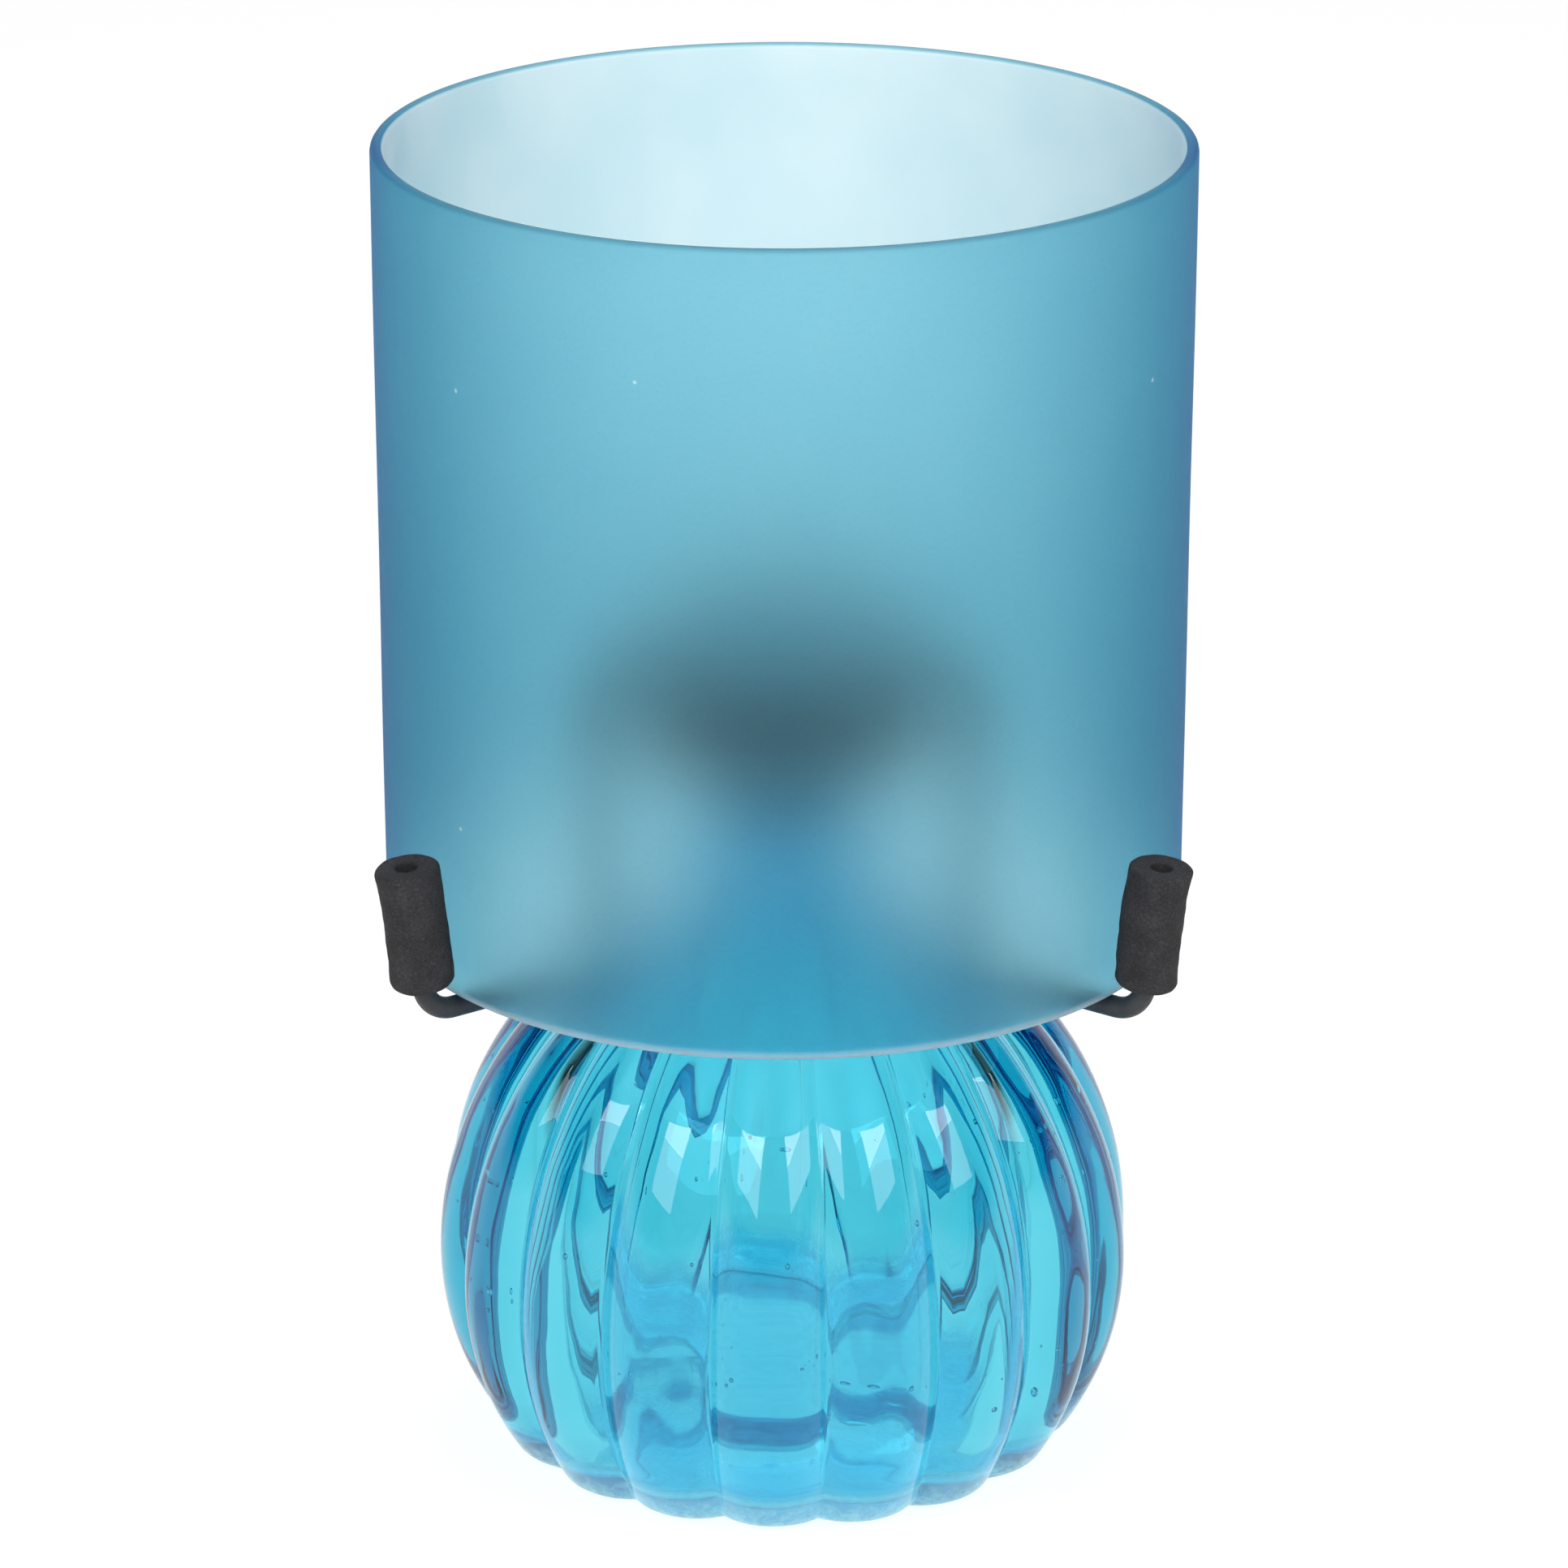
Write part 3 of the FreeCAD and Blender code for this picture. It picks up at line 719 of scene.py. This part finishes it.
# Pieces that keep their solids
def dress_nodes():
    """Finishes on the metal, the rubber and the tealight."""
    coating = black_coating()
    finishes = {node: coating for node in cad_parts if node.startswith("wire_arm")}
    finishes["candle_cup"] = coating
    finishes["neck_peg"] = coating
    finishes["neck_grommet"] = plain_grained(
        "black_rubber", dark=(0.02, 0.02, 0.021), light=(0.035, 0.035, 0.036),
        roughness=0.6, per_mm=1.2, depth_mm=0.03)
    finishes["tealight_shell"] = plain_grained(
        "drawn_foil", dark=(0.72, 0.73, 0.75), light=(0.85, 0.86, 0.87),
        roughness=0.3, per_mm=0.5, depth_mm=0.03, Metallic=1.0)
    finishes["tealight_wax"] = plain_grained(
        "poured_wax", dark=(0.02, 0.13, 0.2), light=(0.035, 0.19, 0.28),
        roughness=0.4, per_mm=0.12, depth_mm=0.1, Subsurface_Weight=0.2)
    finishes["wick_tab"] = plain_grained(
        "tinned_steel", dark=(0.55, 0.55, 0.57), light=(0.7, 0.7, 0.72),
        roughness=0.35, per_mm=0.8, depth_mm=0.02, Metallic=1.0)
    finishes["tealight_wick"] = plain_grained(
        "waxed_cotton", dark=(0.62, 0.58, 0.5), light=(0.82, 0.79, 0.72),
        roughness=0.8, per_mm=2.5, depth_mm=0.15)
    for node, material in finishes.items():
        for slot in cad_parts[node].material_slots:
            slot.material = material


# Stage, light and camera
def make_floor():
    """A plain white floor that keeps a soft part of the object's shadow."""
    half = 4.0
    gap_under_foot = 0.2 * MM
    white = (0.85, 0.85, 0.85, 1.0)
    corners = [(-half, -half, 0), (half, -half, 0), (half, half, 0), (-half, half, 0)]
    mesh = bpy.data.meshes.new("floor")
    mesh.from_pydata(corners, [], [(0, 1, 2, 3)])
    floor = bpy.data.objects.new("floor", mesh)
    floor.location.z = -gap_under_foot
    bpy.context.scene.collection.objects.link(floor)
    material = bpy.data.materials.new("white_floor")
    tree = new_tree(material)
    output = add(tree, "ShaderNodeOutputMaterial")
    matt = add(tree, "ShaderNodeBsdfDiffuse", Color=white)
    glow = add(tree, "ShaderNodeEmission", Strength=1.07)
    mix = add(tree, "ShaderNodeMixShader", Fac=0.8)
    tree.links.new(matt.outputs[0], mix.inputs[1])
    tree.links.new(glow.outputs[0], mix.inputs[2])
    tree.links.new(mix.outputs[0], output.inputs["Surface"])
    mesh.materials.append(material)


def make_world():
    """A white sweep behind and round the horizon, dimmer overhead and dimmest high up at the sides."""
    overhead_light = 0.2
    side_light = 0.03
    world = bpy.data.worlds.new("studio")
    bpy.context.scene.world = world
    tree = new_tree(world)
    output = add(tree, "ShaderNodeOutputWorld")
    towards = add(tree, "ShaderNodeSeparateXYZ")
    tree.links.new(add(tree, "ShaderNodeTexCoord").outputs["Generated"], towards.inputs[0])
    sideways = calc(tree, "ABSOLUTE", towards.outputs["X"])
    ceiling = between(tree, sideways, overhead_light, side_light, start=0.35, end=0.75)
    around = between(tree, towards.outputs["Z"], 1.0, ceiling, start=0.05, end=0.2)
    sweep = between(tree, towards.outputs["Y"], around, 1.0, start=0.5, end=0.8)
    light = add(tree, "ShaderNodeBackground", Color=(*WHITE, 1.0))
    tree.links.new(sweep, light.inputs["Strength"])
    tree.links.new(light.outputs[0], output.inputs["Surface"])


def make_lamp(name, azimuth, elevation, width, height, power):
    """A softbox aimed at the object, seen from it at those angles in degrees; azimuth 0 is the front."""
    turn, tilt = math.radians(azimuth), math.radians(elevation)
    towards = Vector((math.sin(turn) * math.cos(tilt), -math.cos(turn) * math.cos(tilt), math.sin(tilt)))
    data = bpy.data.lights.new(name, "AREA")
    data.shape = "RECTANGLE"
    data.size = width
    data.size_y = height
    data.energy = power
    lamp = bpy.data.objects.new(name, data)
    lamp.location = LAMP_AIM + towards * LAMP_DISTANCE
    lamp.rotation_euler = towards.to_track_quat("Z", "Y").to_euler()
    bpy.context.scene.collection.objects.link(lamp)


def make_camera():
    """The photograph's camera: level, looking down at the front."""
    data = bpy.data.cameras.new("camera")
    data.sensor_width = SENSOR
    data.lens = SENSOR * FOCAL_PIXELS / IMAGE_SIDE
    camera = bpy.data.objects.new("camera", data)
    camera.location = (0.0, -CAMERA_BACK, CAMERA_HEIGHT)
    camera.rotation_euler = (math.radians(90 - CAMERA_PITCH), 0.0, 0.0)
    bpy.context.scene.collection.objects.link(camera)
    bpy.context.scene.camera = camera


make_camera()
make_world()
make_floor()
for lamp_settings in LAMPS:
    make_lamp(*lamp_settings)
make_base()
make_shade()
foam = black_foam()
for number, arm in enumerate(("left", "right", "back")):
    make_sleeve(arm, foam, number)
dress_nodes()

scene = bpy.context.scene
scene.view_settings.view_transform = "Standard"
scene.cycles.max_bounces = 28
scene.cycles.transmission_bounces = 24
scene.cycles.glossy_bounces = 12
